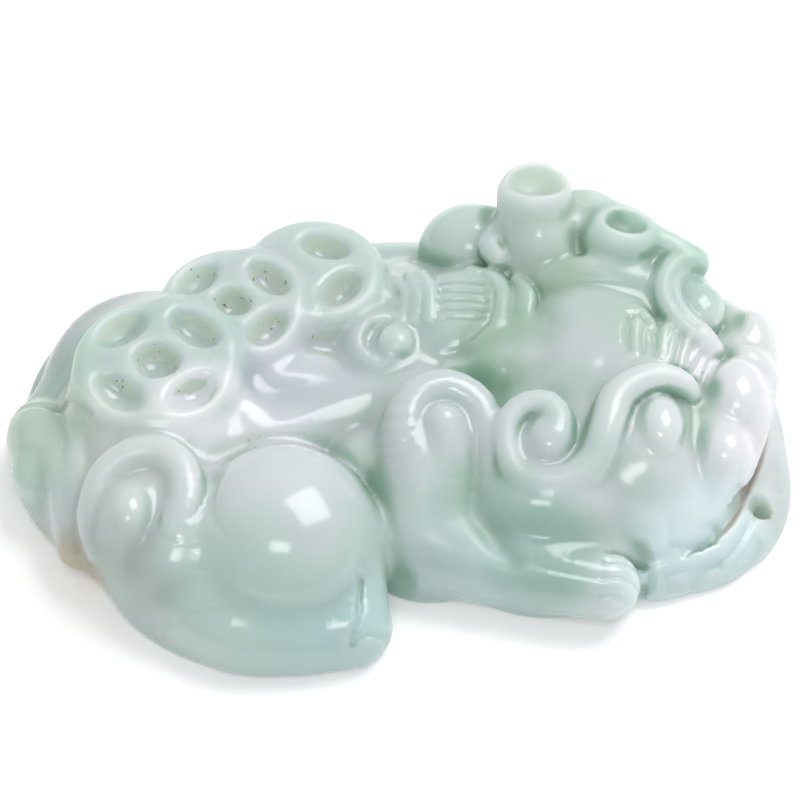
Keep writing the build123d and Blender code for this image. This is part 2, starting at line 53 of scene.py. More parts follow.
# The carving is laid out on a drawing with units of its own. Each place and half size below is in those
# units, and so a share of the lengths above. A strand's radius is a share of the half thickness that is
# given with it.
DRAWING = np.array([51.7, 36.6, 12.2])
SHARE = np.array([LENGTH, WIDTH, HEIGHT]) / DRAWING
TINY = 1e-9              # keeps anything from being divided by nought


def mass(x, y, z, half_x, half_y, half_z, turn=0.0, full=2):
    """An ellipsoid turned about Z, or a fuller pad where full is over 2.

    Its unit radius is the root of the sum of the powers of the shares of its half sizes. Its distance is
    that radius less 1, over the length of its gradient.
    """
    centre = np.array([x, y, z]) * SHARE
    half = np.array([half_x, half_y, half_z]) * SHARE
    cosine, sine = np.cos(np.radians(turn)), np.sin(np.radians(turn))

    def distance(px, py, pz):
        dx, dy, dz = px - centre[0], py - centre[1], pz - centre[2]
        u, v = cosine * dx + sine * dy, cosine * dy - sine * dx
        shares = [np.abs(run) / size for run, size in zip((u, v, dz), half)]
        unit = sum(share**full for share in shares) ** (1 / full) + TINY
        slope = np.sqrt(sum((share ** (full - 1) / size) ** 2 for share, size in zip(shares, half)))
        return (unit - 1) * unit ** (full - 1) / (slope + TINY)

    wide = np.array([max(half[:2])] * 2 + [half[2]]) if turn else half
    return distance, centre - wide, centre + wide


def smooth_line(rows, step=0.8):
    """A Catmull-Rom curve through rows of numbers, with a point about every step.

    Between two rows it is a cubic, and its slope at a row is half the run from the row before to the row
    after. Beyond each end a row is added, in line with the last two.
    """
    rows = np.array(rows, float)
    if len(rows) == 2:
        return rows
    ends = np.vstack([2 * rows[0] - rows[1], rows, 2 * rows[-1] - rows[-2]])
    pieces = []
    for a, b, c, d in zip(ends, ends[1:], ends[2:], ends[3:]):
        count = max(2, int(np.ceil(np.linalg.norm((c - b)[:3]) / step)))
        t = np.arange(count)[:, None] / count
        bend, twist = a - 2.5 * b + 2 * c - d / 2, 1.5 * (b - c) + (d - a) / 2
        pieces.append(b + t * (c - a) / 2 + t**2 * bend + t**3 * twist)
    return np.vstack(pieces + [rows[-1:]])


def strand(rows, half_thick, steep=1.0):
    """A round strand along rows of x, y, z and radius share.

    Its distance is the least that any run of its line gives: how far the point is from the nearest place
    on the run, less the radius there, which changes evenly along the run. Heights count steep times as
    much as widths, so a strand with steep under 1 is drawn out upwards.
    """
    line = smooth_line([(*(np.array(row[:3]) * SHARE), row[3] * half_thick) for row in rows])

    def distance(px, py, pz):
        best = np.inf
        for a, b in itertools.pairwise(line):
            run = (b - a)[:3]
            t = ((px - a[0]) * run[0] + (py - a[1]) * run[1] + (pz - a[2]) * run[2]) / (run @ run)
            t = np.clip(t, 0, 1)
            off = (px - a[0] - t * run[0]) ** 2 + (py - a[1] - t * run[1]) ** 2
            off = off + ((pz - a[2] - t * run[2]) * steep) ** 2
            best = np.minimum(best, np.sqrt(off) - a[3] - t * (b[3] - a[3]))
        return best

    reach = line[:, 3:] * [1, 1, 1 / steep]
    return distance, (line[:, :3] - reach).min(0), (line[:, :3] + reach).max(0)


steps = []               # sign, form and blend of each step of the carving


def raise_up(form, blend):
    """The form is left standing, and the corner round its foot is rounded over the blend."""
    steps.append((1, form, blend))


def cut_away(form, blend):
    """The form is ground out of what stands so far, and its edge is rounded over the blend."""
    steps.append((-1, form, blend))


RIM_MIDDLE = 0.5         # height at which the thin rim is widest
half_leg = LEG_THICK / 2
raise_up(mass(-11.6, 3.7, RIM_MIDDLE, 13.3, 11.2, BACK_HEIGHT - RIM_MIDDLE), 0.5)  # thin rim
for x, y, z, half_x, half_y, half_z, turn, blend in (
    (-18.7, -2.6, 1.8, 6.4, 8.9, 3.6, 27, 1.0),  # rump
    (-16.2, 5.0, 1.8, 7.0, 7.8, 4.1, 30, 1.5),  # rim behind the near coin
    (0.0, 6.2, 1.5, 15.0, 11.65, 3.2, 0, 1.0),  # rim behind the wing
    (-5.0, 3.0, 1.6, 18.5, 11.0, 4.4, 0, 1.5),  # the whole back
    (-13.0, 4.3, 2.2, 8.8, 6.6, 5.2, 0, 1.5),  # under the near coin
    (-7.2, 8.6, 2.0, 6.6, 5.8, 5.2, 0, 1.5),  # under the far coin
    (-9.6, 3.4, 3.0, 4.6, 4.6, 4.4, 0, 1.2),  # under the middle coin
    (1.5, 7.0, 2.5, 7.0, 7.2, 4.8, 0, 1.5),  # under the wing
    (-10.4, -0.8, 4.2, 2.4, 3.0, 3.2, 0, 1.0),  # slope from the near coin to the haunch
    (-7.4, 1.6, 4.2, 4.8, 2.6, 2.7, 0, 1.2),  # flank
):
    raise_up(mass(x, y, z, half_x, half_y, half_z, turn), blend)
raise_up(mass(-7.0, 2.2, 4.2, 3.6, 1.9, 2.9, full=3), 0.6)  # step of the flank under the coins
spine = (
    (-13.0, -3.4, 3.8, 1.0),
    (-8.0, -2.2, 4.3, 1.04),
    (-3.4, -0.2, 4.3, 1.0),
    (0.6, 1.6, 4.0, 0.9),
)
raise_up(strand(spine, half_leg), 1.5)

# Head and lower jaw
# The jaw is left as a thin plate round the near side of the head, because the cord hole goes through it.
# The head stands on it as one rounded block, with a smooth lobe of the mane behind it.
JAW_HEIGHT = 3.8         # lower jaw, the plate that the cord hole goes through
JAW_MIDDLE = 0.8         # height at which that plate is widest
raise_up(mass(15.8, 0.0, JAW_MIDDLE, 9.5, 12.2, JAW_HEIGHT - JAW_MIDDLE), 1.0)
raise_up(mass(17.4, -3.4, JAW_MIDDLE, 8.0, 8.1, JAW_HEIGHT - JAW_MIDDLE), 1.0)
for x, y, z, half_x, half_y, half_z, blend in (
    (13.2, 2.8, 2.2, 11.0, 11.0, 6.0, 1.5),  # the whole head
    (14.0, 10.2, 4.0, 6.8, 5.2, 4.6, 1.0),  # its far side
    (11.5, 12.6, 5.0, 4.2, 3.4, 3.6, 1.0),  # under the upright curls
    (14.2, -0.2, 3.0, 9.3, 10.0, 4.4, 0.8),  # its near side
    (4.8, 13.8, 5.4, 3.7, 3.3, 3.2, 0.5),  # lobe of the mane
    (6.8, 13.4, 6.2, 1.8, 1.8, 2.2, 0.8),  # between the lobe and the top curl
):
    raise_up(mass(x, y, z, half_x, half_y, half_z), blend)

# Haunch and hind foot
# The haunch is the largest smooth form of the carving, domed and polished the brightest.
# The hind foot runs forward under it along the near edge, and turns up in front of it.
for x, y, z, half_x, half_y, half_z, blend in (
    (-15.9, -6.6, 3.2, 5.6, 6.6, 4.6, 1.5),  # hip
    (-12.8, -9.6, 0.0, 5.4, 6.9, 7.2, 1.5),  # between hip and haunch
    (-7.6, -9.9, 4.2, 6.2, 6.5, 5.2, 0.9),  # haunch
):
    raise_up(mass(x, y, z, half_x, half_y, half_z), blend)
foot = (
    (-15.6, -10.8, 2.2, 1.08),
    (-13.3, -13.5, 2.0, 1.16),
    (-10.5, -15.4, 1.8, 1.18),
    (-7.0, -15.8, 1.7, 1.1),
    (-4.4, -15.6, 1.7, 1.02),
    (-3.3, -15.4, 1.7, 1.0),
)
shin = ((-3.2, -15.2, 1.8, 1.0), (-3.1, -12.6, 3.0, 0.86), (-3.3, -9.2, 4.2, 0.86))
raise_up(strand(foot, half_leg), 1.3)
raise_up(strand(shin, half_leg), 0.8)

# Shoulder, cheek and foreleg
# The foreleg is laid along the near edge from the shoulder to the paw under the jaw.
# A deep fold parts it from the cheek.
CURL_THICK = 2.0         # strands of the mane, the folds and the tail, across
half_curl = CURL_THICK / 2
raise_up(mass(1.4, -3.2, 0.0, 5.6, 8.9, 8.2), 0.6)  # shoulder
raise_up(mass(10.8, -3.0, 0.0, 9.2, 8.6, 7.8), 0.6)  # cheek
raise_up(mass(-2.5, -4.2, 2.8, 2.4, 2.8, 4.0), 0.8)  # between haunch and shoulder
foreleg = (
    (0.5, -8.8, 2.5, 1.18),
    (4.0, -10.1, 2.6, 1.13),
    (8.0, -11.4, 2.7, 1.0),
    (11.0, -12.3, 2.8, 0.92),
    (13.1, -12.7, 2.7, 0.88),
)
raise_up(strand(foreleg, half_leg), 1.4)
raise_up(mass(9.4, -8.0, 0.0, 6.2, 5.4, 6.2), 1.0)  # lower cheek
fold = (
    (4.9, -7.0, 7.0, 0.6),
    (5.3, -9.2, 6.1, 0.8),
    (6.0, -11.0, 5.7, 0.8),
    (7.0, -12.4, 5.3, 0.5),
)
cut_away(strand(fold, half_curl), 0.8)

# Coins
# Three old coins lie on the back, overlapping, each with petals round a square. They are carved from the
# same stone, and their openings are shallow dishes, not pierced. The far one is half hidden by the next.
COIN_RADIUS = 5.3
COIN_THICK = 2.2
COIN_EDGE = 1.0          # rounding of the coins' rims
COIN_FOOT = 1.3          # rounding where a coin meets the back
PAD_WIDE = 4.9           # half width of the pad that a coin lies on
PAD_HIGH = 2.4           # half height of the pad
PAD_BELOW = 2.8          # from a coin's top down to the pad's middle
COIN_RECESS = 1.25       # depth of the dishes
PETAL_LONG = 4.4
PETAL_WIDE = 2.75
SQUARE_WIDE = 2.7
SQUARE_TURN = 15         # degrees
SQUARE_FULL = 2.5        # 2 would make it round
DISH = 2.3               # half height of the form that cuts a dish
DISH_EDGE = 0.5          # rounding of a dish's edge
DISH_NEARER = 0.2        # how far to the near side of a coin's middle its dishes lie


def disc(x, y, z, radius, thick, edge):
    """A round slab with rounded edges, whose top is at z.

    Its distance is the length of the two runs past its flat core, outwards and upwards, taken together,
    less the rounding of the edge. Inside the core it is the greater of the two.
    """
    centre = np.array([x, y, z]) * SHARE - [0, 0, thick / 2]

    def distance(px, py, pz):
        out = np.hypot(px - centre[0], py - centre[1]) - radius + edge
        up = np.abs(pz - centre[2]) - thick / 2 + edge
        inside = np.minimum(np.maximum(out, up), 0)
        return np.hypot(np.maximum(out, 0), np.maximum(up, 0)) + inside - edge

    wide = np.array([radius, radius, thick / 2])
    return distance, centre - wide, centre + wide


# Place of each coin's top, its size, the turns of its petals, their size, how far out they lie as a share
# of the coin's radius, and the size of its square:
for x, y, z, size, turns, petals, out, square in (
    (-5.8, 10.1, 7.8, 0.91, (72, -38), 0.9, 0.45, 0.0),
    (-11.1, 6.95, 8.3, 0.93, (42, 138, -42, -138), 0.93, 0.61, 0.95),
    (-15.85, 1.4, 8.9, 1.05, (49, 131, -49, -131), 1.04, 0.69, 1.15),
):
    raise_up(mass(x, y, z - PAD_BELOW, PAD_WIDE * size, PAD_WIDE * size, PAD_HIGH), 0.3)
    raise_up(disc(x, y, z, COIN_RADIUS * size, COIN_THICK, COIN_EDGE), COIN_FOOT)
    low = z - COIN_RECESS / SHARE[2] + DISH
    half_x, half_y = PETAL_WIDE / 2 * petals / SHARE[0], PETAL_LONG / 2 * petals / SHARE[1]
    for turn in turns:
        aim = np.array([np.cos(np.radians(turn)), np.sin(np.radians(turn))])
        side = out * COIN_RADIUS * aim / SHARE[:2]
        petal = mass(x + side[0], y + side[1] - DISH_NEARER, low, half_x, half_y, DISH, turn)
        cut_away(petal, DISH_EDGE)
    if square:
        half = SQUARE_WIDE / 2 / SHARE[0] * square
        cut_away(mass(x, y - DISH_NEARER, low, half, half, DISH, SQUARE_TURN, SQUARE_FULL), DISH_EDGE)
# The near coin's edge runs out into the hip on one side and into the tail on the other:
raise_up(mass(-15.4, -3.4, 5.8, 4.8, 2.6, 2.3), 1.2)
raise_up(mass(-19.9, -0.6, 5.4, 2.1, 3.2, 2.0), 1.6)

# Hip curl
# A broad strand turns over the hip and round a knob, with a dark hollow between the two.
# Both run out into the haunch, with no edge below them.
hip_curl = (
    (-19.6, -10.9, 4.2, 0.7),
    (-19.9, -9.3, 5.7, 0.9),
    (-19.2, -7.3, 7.0, 1.0),
    (-17.5, -6.0, 7.7, 1.1),
    (-15.6, -5.9, 7.8, 1.15),
    (-14.2, -7.0, 7.8, 1.15),
    (-13.7, -8.9, 7.5, 1.2),
    (-14.1, -10.9, 6.6, 1.4),
    (-14.6, -12.4, 5.2, 1.8),
)
raise_up(mass(-18.4, -9.0, 4.6, 1.7, 2.8, 2.6), 0.8)  # outer side of the curl
raise_up(mass(-16.9, -9.3, 1.8, 2.7, 2.6, 3.6), 1.2)  # floor of the hollow
raise_up(strand(hip_curl, half_curl), 0.7)
raise_up(mass(-17.4, -9.9, 5.6, 1.8, 2.5, 2.6), 0.7)  # knob
raise_up(mass(-15.3, -12.1, 2.6, 3.1, 2.6, 3.3), 1.8)  # below the curl and the knob
raise_up(mass(-12.4, -11.2, 2.8, 3.6, 3.6, 3.8), 2.2)  # between the curl and the haunch

# Tail
# The tail hangs beside the hip in a lobe and two locks, cut from the outermost stone of the pebble.
# That is why its lower edge keeps some of the pebble's brown skin.
raise_up(mass(-22.8, -2.2, 3.0, 2.7, 4.6, 2.6, 23), 0.5)  # lobe
tail_rim = (
    (-24.9, -2.3, 3.9, 0.3),
    (-24.0, -2.3, 4.8, 0.4),
    (-23.0, -3.2, 5.1, 0.4),
    (-22.6, -5.0, 4.8, 0.3),
)
tail = (
    (-22.3, -1.4, 4.6, 0.6),
    (-22.0, -3.6, 4.9, 0.9),
    (-21.6, -6.4, 4.2, 1.3),
    (-20.8, -9.6, 2.8, 1.4),
)
tail_side = (
    (-20.9, -1.8, 5.9, 0.4),
    (-20.9, -3.9, 5.9, 0.55),
    (-20.8, -6.4, 5.2, 0.6),
    (-20.6, -8.8, 4.0, 0.5),
    (-20.3, -10.2, 3.1, 0.4),
)
raise_up(mass(-23.9, -4.1, 3.6, 1.4, 1.8, 1.3), 0.9)  # knob on the lobe
raise_up(strand(tail_rim, half_curl), 0.5)
raise_up(strand(tail, half_curl), 0.8)
raise_up(strand(tail_side, half_curl), 0.7)

# Wing
# The folded wing is a full pad with a rim on its far side, feathers beside it, and a domed scroll.
# A crescent is cut into the scroll round a small knob.
raise_up(mass(4.4, 7.2, 5.6, 3.3, 3.9, 2.4, full=2.6), 0.8)  # pad
rim = (
    (4.7, 10.2, 7.1, 0.5),
    (6.1, 9.4, 7.3, 0.7),
    (6.6, 7.6, 7.4, 0.8),
    (6.2, 5.6, 7.3, 0.8),
    (4.9, 4.4, 6.9, 0.7),
)
raise_up(strand(rim, half_curl), 0.6)
for feather in (
    ((-0.4, 9.9, 6.9, 0.3), (0.3, 8.3, 7.2, 0.4), (0.1, 6.4, 7.0, 0.3)),
    ((0.5, 10.2, 7.0, 0.35), (1.1, 8.2, 7.4, 0.45), (0.9, 6.0, 7.1, 0.35)),
    ((1.4, 10.2, 7.1, 0.35), (1.9, 8.2, 7.6, 0.45), (1.8, 6.0, 7.4, 0.35)),
    ((-1.6, 9.7, 6.5, 0.4), (-1.2, 8.8, 6.7, 0.5), (-0.5, 7.8, 6.7, 0.4)),
):
    raise_up(strand(feather, half_curl), 0.4)
raise_up(mass(-0.6, 9.4, 5.2, 2.0, 1.6, 1.6), 0.6)  # foot of the feathers
raise_up(mass(-1.4, 4.9, 5.4, 2.5, 2.9, 2.3), 0.8)  # scroll
crescent = (
    (-0.7, 6.0, 7.9, 0.4),
    (-1.8, 5.3, 7.8, 0.65),
    (-2.1, 4.1, 7.7, 0.65),
    (-1.4, 3.1, 7.6, 0.4),
)
cut_away(strand(crescent, half_curl, 0.7), 0.4)
raise_up(mass(-0.3, 4.4, 6.7, 1.15, 1.3, 1.1), 0.25)  # knob in the scroll
raise_up(mass(4.0, 2.6, 6.0, 1.4, 0.8, 0.9), 0.6)  # near end of the pad

# Forehead and ear
# The forehead is a smooth full dome with a lip behind it, and a hollow behind the lip.
# The ear lies between it and the wing.
raise_up(mass(12.9, 3.9, 4.6, 4.5, 6.3, 4.2, full=2.6), 0.8)  # forehead
raise_up(mass(12.2, 7.0, 4.2, 3.8, 3.0, 4.2), 0.8)  # its far slope
lip = ((9.6, 9.2, 7.7, 0.8), (12.4, 9.5, 8.5, 0.8), (15.4, 9.1, 7.9, 0.8))
raise_up(strand(lip, half_curl), 1.2)
raise_up(mass(11.4, 13.2, 7.2, 2.6, 2.4, 2.7), 0.8)  # between the upright curls
cut_away(mass(11.9, 11.3, 9.4, 2.1, 1.0, 1.2), 0.5)  # hollow behind the lip
raise_up(mass(7.6, 11.0, 6.2, 1.7, 1.5, 1.9), 0.6)  # between the ear and the lobe of the mane
raise_up(mass(16.6, 9.0, 6.2, 1.5, 3.2, 2.0), 0.8)  # between the forehead and the far brow
raise_up(mass(8.0, 7.4, 6.4, 1.2, 3.2, 1.6, -4), 0.35)  # ear
ear = ((7.5, 9.3, 7.6, 0.3), (8.4, 7.8, 7.8, 0.4), (8.2, 5.6, 7.5, 0.3))
raise_up(strand(ear, half_curl), 0.3)
valley = ((7.3, 2.8, 8.0, 0.3), (6.8, 1.7, 7.9, 0.5), (6.2, 0.2, 7.9, 0.4))
cut_away(strand(valley, half_curl, 0.5), 0.6)
raise_up(mass(7.4, 3.8, 5.7, 3.2, 3.0, 2.35, full=2.5), 0.9)  # pad in front of the ear

# Near side of the mane
# A hooked curl with its knob hangs over the shoulder, and the brow runs down from the eye into a spiral.
# They are round strands that stand about half out of the stone.
hook = (
    (5.6, -6.6, 5.6, 0.9),
    (5.6, -4.0, 6.8, 1.1),
    (4.9, -1.7, 7.6, 1.25),
    (2.9, -0.6, 8.0, 1.35),
    (0.9, -1.5, 7.9, 1.4),
    (0.2, -3.6, 7.1, 1.65),
    (0.9, -5.6, 5.4, 2.3),
)
hook_knob = ((2.7, -3.3, 7.8, 1.2), (3.0, -4.9, 6.7, 1.4), (2.8, -7.6, 4.2, 2.0))
shank = ((4.4, -3.0, 6.4, 1.2), (4.7, -5.5, 5.2, 1.4), (5.0, -8.5, 3.6, 1.5))
brow = (
    (18.9, -0.7, 7.7, 0.5),
    (18.3, -0.3, 8.2, 0.75),
    (16.8, -0.1, 8.6, 1.0),
    (15.2, -0.6, 8.5, 1.15),
    (13.9, -1.7, 8.2, 1.25),
    (13.2, -3.7, 7.7, 1.3),
    (12.4, -5.7, 7.0, 1.3),
    (10.9, -7.2, 6.6, 1.25),
    (9.1, -7.6, 6.6, 1.1),
    (7.3, -6.7, 6.9, 0.9),
    (6.7, -4.7, 7.4, 0.85),
    (7.0, -3.0, 7.9, 0.9),
    (8.1, -2.1, 8.1, 0.95),
    (9.4, -2.2, 8.2, 1.0),
    (10.1, -3.3, 8.1, 1.0),
    (10.0, -4.4, 7.9, 1.0),
)
raise_up(mass(3.2, -2.8, 6.1, 2.8, 2.8, 2.1), 0.6)  # bed of the hook
raise_up(strand(shank, half_curl), 0.8)
raise_up(strand(hook, half_curl), 0.5)
raise_up(strand(hook_knob, half_curl), 0.7)
raise_up(mass(9.2, -7.6, 5.0, 4.2, 2.8, 2.5), 1.0)  # under the spiral's lowest turn
raise_up(mass(8.7, -4.4, 6.0, 2.8, 3.0, 2.0), 0.8)  # bed of the spiral
raise_up(mass(15.9, -3.0, 5.4, 2.9, 3.8, 2.5), 1.6)  # bed of the eye
raise_up(strand(brow, half_curl), 0.45)
raise_up(mass(9.5, -4.4, 7.4, 1.5, 1.9, 1.45), 0.4)  # knob in the spiral

# Eye
# The eye is a smooth oval that is left bulging under the brow and polished bright.
# No pupil is engraved in it.
EYE_WIDE = 2.7
half_eye = EYE_WIDE / 2 / SHARE[0]
raise_up(mass(16.7, -3.1, 7.3, 1.15 * half_eye, 1.75 * half_eye, 1.15 * half_eye), 0.4)

# Nose and upper lip
# Smooth lobes of the whitest stone stand on a roll that follows the mouth.
# Outside them a thin lip is left along the slit.
lips = ((23.4, 7.4, 4.0, 1.0), (22.9, 1.6, 4.9, 1.4), (21.8, -2.4, 4.7, 1.4), (20.2, -5.4, 4.2, 1.2))
lip_edge = (
    (24.2, 8.4, 3.9, 0.3),
    (24.4, 3.4, 4.7, 0.4),
    (23.7, -0.7, 4.8, 0.4),
    (22.6, -4.2, 4.6, 0.4),
    (21.4, -6.8, 3.9, 0.3),
)
raise_up(strand(lips, half_curl), 1.0)
raise_up(mass(20.4, -2.0, 4.9, 1.9, 4.2, 2.2), 1.0)  # muzzle behind the lobes
for x, y, z, half_x, half_y, half_z, blend in (
    (21.8, 0.4, 5.8, 2.15, 3.0, 2.35, 0.6),  # tip of the nose
    (20.9, -4.0, 5.2, 1.95, 2.4, 2.25, 0.6),  # near lobe
    (23.1, 6.2, 4.3, 1.7, 2.8, 2.3, 0.5),  # far lobe
    (22.6, 3.4, 4.8, 2.0, 1.7, 2.2, 0.5),  # between the tip and the far lobe
):
    raise_up(mass(x, y, z, half_x, half_y, half_z), blend)
raise_up(strand(lip_edge, half_curl), 0.3)

# Wrinkles of the nose
# Low ridges cross the bridge of the nose, and the first has a pleat round it.
# They are strands that hardly stand out of the stone, and are hatched when they are done.
raise_up(mass(17.0, 3.2, 6.3, 3.7, 3.0, 2.2), 0.6)  # bridge of the nose
raise_up(mass(15.2, 1.2, 5.7, 2.9, 2.5, 2.95, full=3), 0.4)  # between the bridge and the brow
for x, y, z, run, lean, thick in (
    (15.4, 4.5, 8.0, 2.2, 0.2, 0.9),
    (17.3, 4.1, 8.1, 2.2, 0.2, 0.75),
    (18.6, 3.5, 7.9, 1.9, 0.4, 0.5),
    (19.5, 2.8, 7.4, 1.7, 0.5, 0.45),
    (20.3, 2.3, 6.9, 1.6, 0.5, 0.4),
):
    raise_up(strand(((x, y, z, thick), (x - lean, y - run, z - 0.2, thick)), half_curl), 0.3)
pleat = (
    (13.8, 4.6, 7.8, 0.3),
    (14.4, 5.7, 8.0, 0.4),
    (15.7, 5.9, 8.1, 0.4),
    (16.4, 4.6, 8.2, 0.3),
)
raise_up(strand(pleat, half_curl), 0.3)

# Far side of the mane
# Two upright curls with hollow tops stand at the back of the head, the highest places of the carving.
# The far brow and eye are in front of them, and a rim behind.
far_rim = (
    (10.4, 15.0, 8.8, 0.8),
    (12.5, 14.8, 9.1, 0.9),
    (14.3, 13.6, 9.0, 0.9),
    (16.6, 12.1, 8.7, 0.9),
    (18.4, 11.3, 8.3, 0.8),
    (19.4, 10.7, 7.9, 0.7),
)
stem = ((8.7, 13.5, 9.0, 2.5), (9.3, 12.0, 7.6, 2.6), (9.8, 10.6, 6.0, 2.4))
raise_up(strand(far_rim, half_curl), 1.0)
raise_up(strand(stem, half_curl), 0.8)
raise_up(mass(8.8, 14.2, 10.5, 2.5, 2.4, 1.9), 0.5)  # head of the top curl
cut_away(mass(8.9, 14.5, 12.3, 2.1, 1.6, 1.9), 0.4)  # its hollow
raise_up(mass(11.4, 11.6, 6.6, 1.8, 1.9, 1.9), 0.6)  # between the two curls
raise_up(mass(16.8, 10.8, 6.4, 1.4, 1.6, 1.9), 0.6)  # beside the second curl
raise_up(mass(14.3, 11.8, 8.9, 2.5, 2.3, 1.9), 0.7)  # second curl
cut_away(mass(15.0, 12.2, 10.9, 1.7, 1.3, 1.7), 0.4)  # its hollow
far_brow = (
    (19.3, 10.9, 7.5, 1.1),
    (18.2, 10.1, 8.0, 1.1),
    (17.5, 8.5, 8.3, 0.95),
    (17.6, 6.6, 8.3, 0.95),
    (18.5, 5.0, 8.1, 0.9),
    (19.6, 4.1, 7.8, 0.85),
    (20.3, 3.4, 7.3, 0.75),
)
raise_up(mass(21.0, 7.4, 3.0, 2.8, 3.2, 3.2), 0.6)  # far side of the muzzle
raise_up(mass(21.6, 5.0, 4.3, 2.0, 2.4, 2.2), 0.8)  # from there to the nose
raise_up(mass(18.9, 7.6, 6.9, 1.6, 2.6, 1.4), 0.5)  # bed of the far eye
raise_up(strand(far_brow, half_curl), 0.5)
raise_up(mass(19.5, 6.9, 7.2, 1.3 * half_eye, 1.6 * half_eye, 1.2 * half_eye), 0.3)  # far eye
small_curl = (
    (8.6, 12.4, 8.4, 0.8),
    (6.9, 12.8, 8.4, 0.9),
    (5.9, 11.8, 8.2, 0.9),
    (6.4, 10.9, 8.0, 0.8),
)
raise_up(strand(small_curl, half_curl), 0.4)

# Mouth
# A slit is sawn in from the edge, between the upper lip and the jaw plate.
# It shows as a thin dark line, because some of the polishing rouge has stayed in it.
MOUTH_GAP = 0.4
MOUTH_STEEP = 0.4        # the slit is this share of its height across
mouth = (
    (25.4, 8.2, 3.0, 0.9),
    (24.9, 3.4, 3.4, 1.0),
    (24.0, -0.7, 3.8, 1.0),
    (22.9, -4.1, 3.8, 1.0),
    (21.2, -7.8, 3.5, 1.0),
    (19.3, -9.6, 3.2, 0.6),
)
cut_away(strand(mouth, MOUTH_GAP / 2, MOUTH_STEEP), 0.3)


# Engraved lines
# The last lines are cut with the edge of a small wheel when the forms are done, and the polish softens
# them. They are laid out in plan, as x and y in the drawing, and run down over whatever they cross.
LINE_FOOT = 0.8          # no line is cut lower than this
LINE_HEIGHT = 5.0        # any height would do, because a line is drawn out upwards
UPRIGHT = 0.001          # so steep that a line's height hardly counts


def engrave(lines, wide, deep):
    """Each line is a strand without thickness, cut all the way up. Its step has the sign 0."""
    for rows in lines:
        distance, low, high = strand([(x, y, LINE_HEIGHT, 1.0) for x, y in rows], 0.0, UPRIGHT)
        low[2], high[2] = LINE_FOOT, HEIGHT
        steps.append((0, (distance, low, high), (wide, deep)))


# Ribs of the wing, and the line inside its rim:
engrave((
    ((2.6, 8.9), (4.1, 8.9), (5.3, 8.7)),
    ((2.5, 8.1), (4.1, 8.0), (5.5, 7.9)),
    ((2.5, 7.3), (4.1, 7.2), (5.6, 7.1)),
    ((2.6, 6.5), (4.1, 6.4), (5.5, 6.3)),
    ((2.8, 5.8), (4.1, 5.7), (5.3, 5.6)),
    ((5.3, 9.8), (6.1, 8.3), (6.0, 6.2), (5.4, 4.8), (4.5, 4.1)),
), 0.17, 0.17)
# Hatching on the wrinkles of the nose:
engrave((
    ((15.0, 5.2), (14.8, 3.8), (14.8, 2.3)),
    ((15.9, 5.0), (15.7, 3.7), (15.7, 2.2)),
    ((16.9, 4.5), (16.6, 3.3), (16.5, 2.0)),
    ((17.6, 4.2), (17.3, 3.0), (17.1, 1.7)),
    ((18.3, 3.7), (18.0, 2.5), (17.7, 1.4)),
    ((19.0, 3.2), (18.6, 2.1), (18.3, 1.1)),
    ((19.6, 2.6), (19.2, 1.6), (18.9, 0.8)),
), 0.28, 0.18)
# Inner step of the far brow:
engrave((((18.6, 9.6), (17.9, 8.6), (17.6, 7.3), (17.8, 6.1), (18.4, 5.1), (19.2, 4.4)),), 0.3, 0.22)
# Folds of the lip, and leaves at the corner of the mouth:
engrave((
    ((21.8, -6.0), (20.8, -7.7), (19.6, -9.0), (18.2, -10.0)),
    ((23.0, -6.2), (22.2, -8.0), (20.9, -9.9), (18.6, -11.4)),
    ((23.1, -8.4), (22.0, -10.3), (19.7, -11.8), (17.4, -12.4)),
    ((17.0, -11.3), (18.7, -10.8), (20.4, -10.2)),
    ((17.1, -11.7), (18.9, -11.6), (20.9, -11.0)),
    ((17.1, -9.1), (18.5, -8.5), (20.3, -8.1)),
    ((17.2, -9.5), (18.7, -9.5), (20.1, -9.0)),
), 0.28, 0.16)
# Toes of the forefoot and of the hind foot:
engrave((
    ((13.3, -11.2), (14.4, -10.9), (15.6, -10.9)),
    ((13.0, -12.4), (14.2, -12.2), (15.6, -12.0)),
    ((12.8, -13.5), (14.0, -13.4), (15.5, -13.1)),
    ((12.7, -14.4), (13.9, -14.3), (15.2, -14.1)),
    ((-3.2, -17.6), (-2.2, -17.1), (-0.9, -16.5)),
    ((-3.4, -18.2), (-2.4, -17.8), (-1.0, -17.2)),
    ((-2.6, -13.9), (-2.7, -15.1), (-2.8, -16.5), (-3.2, -17.4)),
), 0.18, 0.2)
# Line between the tail and the back:
engrave((((-25.1, 0.9), (-23.5, 0.7), (-21.6, -0.6), (-20.0, -2.3)),), 0.28, 0.18)

# Cord hole
# A small hole for the cord is drilled up through the lower jaw, from the flat back.
# Its mouth has worn to a funnel.
CORD_HOLE = 1.2
HOLE_WALL = 2.3          # straight wall of the hole, up to its worn funnel
HOLE_PLACE = (23.4, -6.1)
FUNNEL = (1.1, 1.1, 1.5)  # half sizes
FUNNEL_ABOVE = 1.2       # from the top of the straight wall to the funnel's middle
drill = ((*HOLE_PLACE, -2.0, 1.0), (*HOLE_PLACE, 8.0, 1.0))
cut_away(strand(drill, CORD_HOLE / 2), 0.05)
cut_away(mass(*HOLE_PLACE, HOLE_WALL + FUNNEL_ABOVE, *FUNNEL), 0.3)


# Surface of the jade
# The whole pendant is one closed skin: the place where the distance to the carved stone is nought.
# The flat back is ground level, and its edge is only just rounded.
BOTTOM_EDGE = 0.6        # rounding where the sides meet the flat back
OUTSIDE = 4.0            # distance given to a place far from every form
CLEAR = 1.2              # how far a form is worked out beyond its own box


